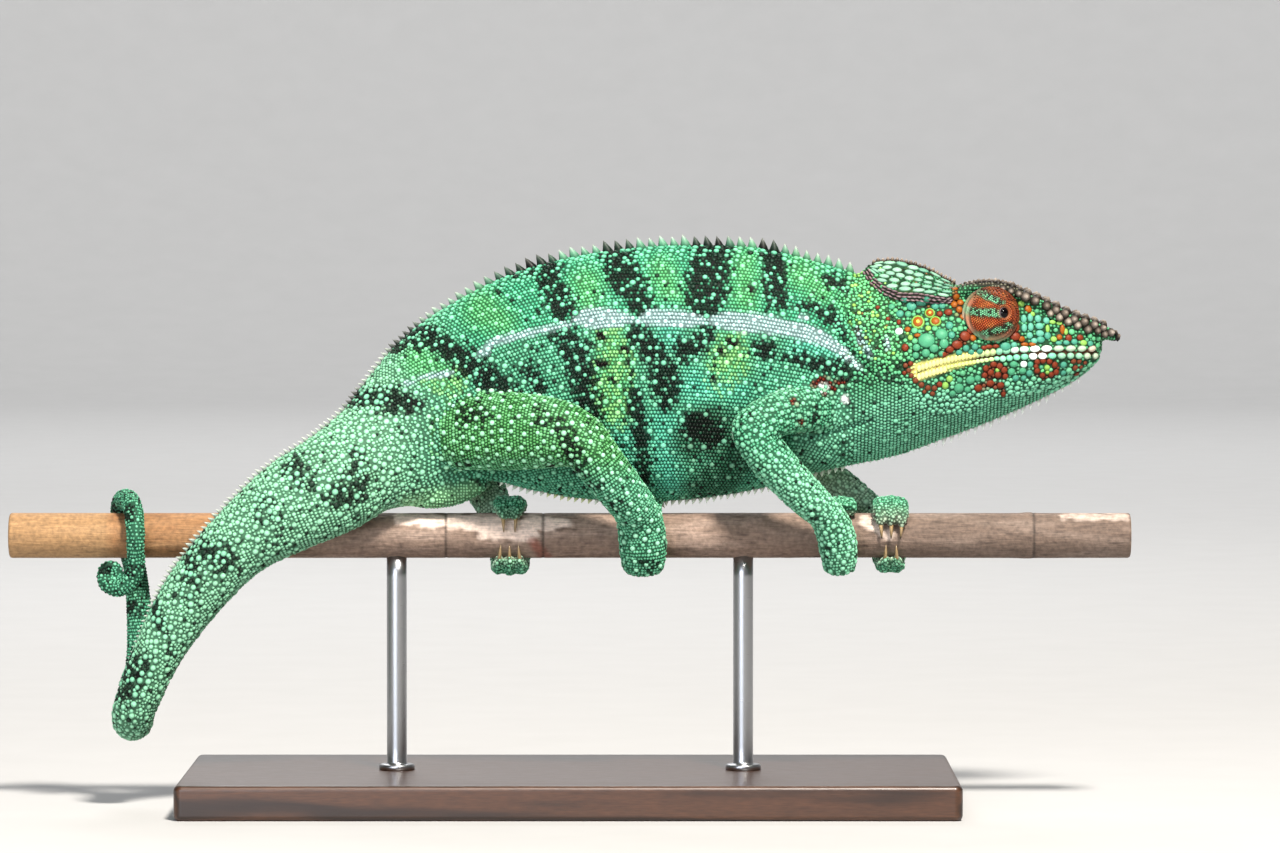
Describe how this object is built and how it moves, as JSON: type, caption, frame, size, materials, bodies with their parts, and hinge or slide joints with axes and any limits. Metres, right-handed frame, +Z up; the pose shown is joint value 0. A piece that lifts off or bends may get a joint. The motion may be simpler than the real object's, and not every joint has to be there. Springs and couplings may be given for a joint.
{
  "type": "panther chameleon figure",
  "caption": "Life-size panther chameleon gripping a cut perch with its feet and curled tail, on a plain display stand.",
  "frame": {"origin": "on the floor, below the middle of the perch and of the base", "axes": "+X along the perch towards the head, +Y to the animal's left, +Z up"},
  "size_m": [0.291, 0.1, 0.1483],
  "materials": {
    "scaly_skin": "granular scales, green with dark bands and a pale stripe, slightly shiny",
    "crest_tubercles": "large grey-brown tubercles, dull",
    "eyelid": "very fine orange-red scales with green rays",
    "pupil": "wet and dark",
    "bark": "dry bark, part of it peeled",
    "stained_wood": "dark stain, satin",
    "brushed_steel": "satin"
  },
  "bodies": {
    "root": {"head": "scaly_skin", "lower_jaw": "scaly_skin", "neck": "scaly_skin", "trunk": "scaly_skin", "tail_base": "scaly_skin", "tail_middle": "scaly_skin", "tail_lower": "scaly_skin", "tail_bend": "scaly_skin", "tail_rise": "scaly_skin", "tail_hook": "scaly_skin", "tail_tip": "scaly_skin", "casque": "scaly_skin", "upper_arm_right": "scaly_skin", "forearm_right": "scaly_skin", "hand_right": "scaly_skin", "thigh_right": "scaly_skin", "shank_right": "scaly_skin", "foot_right": "scaly_skin", "toes_upper_hand_right": "scaly_skin", "toes_lower_hand_right": "scaly_skin", "toes_upper_foot_right": "scaly_skin", "toes_lower_foot_right": "scaly_skin", "upper_arm_left": "scaly_skin", "forearm_left": "scaly_skin", "hand_left": "scaly_skin", "thigh_left": "scaly_skin", "shank_left": "scaly_skin", "foot_left": "scaly_skin", "toes_upper_hand_left": "scaly_skin", "toes_lower_hand_left": "scaly_skin", "toes_upper_foot_left": "scaly_skin", "toes_lower_foot_left": "scaly_skin", "snout_crest": "crest_tubercles", "eye_turret_right": "eyelid", "eye_turret_left": "eyelid", "eye_right": "pupil", "eye_left": "pupil", "perch": "bark", "stand_base": "stained_wood", "stand_rod_back": "brushed_steel", "stand_rod_front": "brushed_steel"}
  },
  "joints": []
}
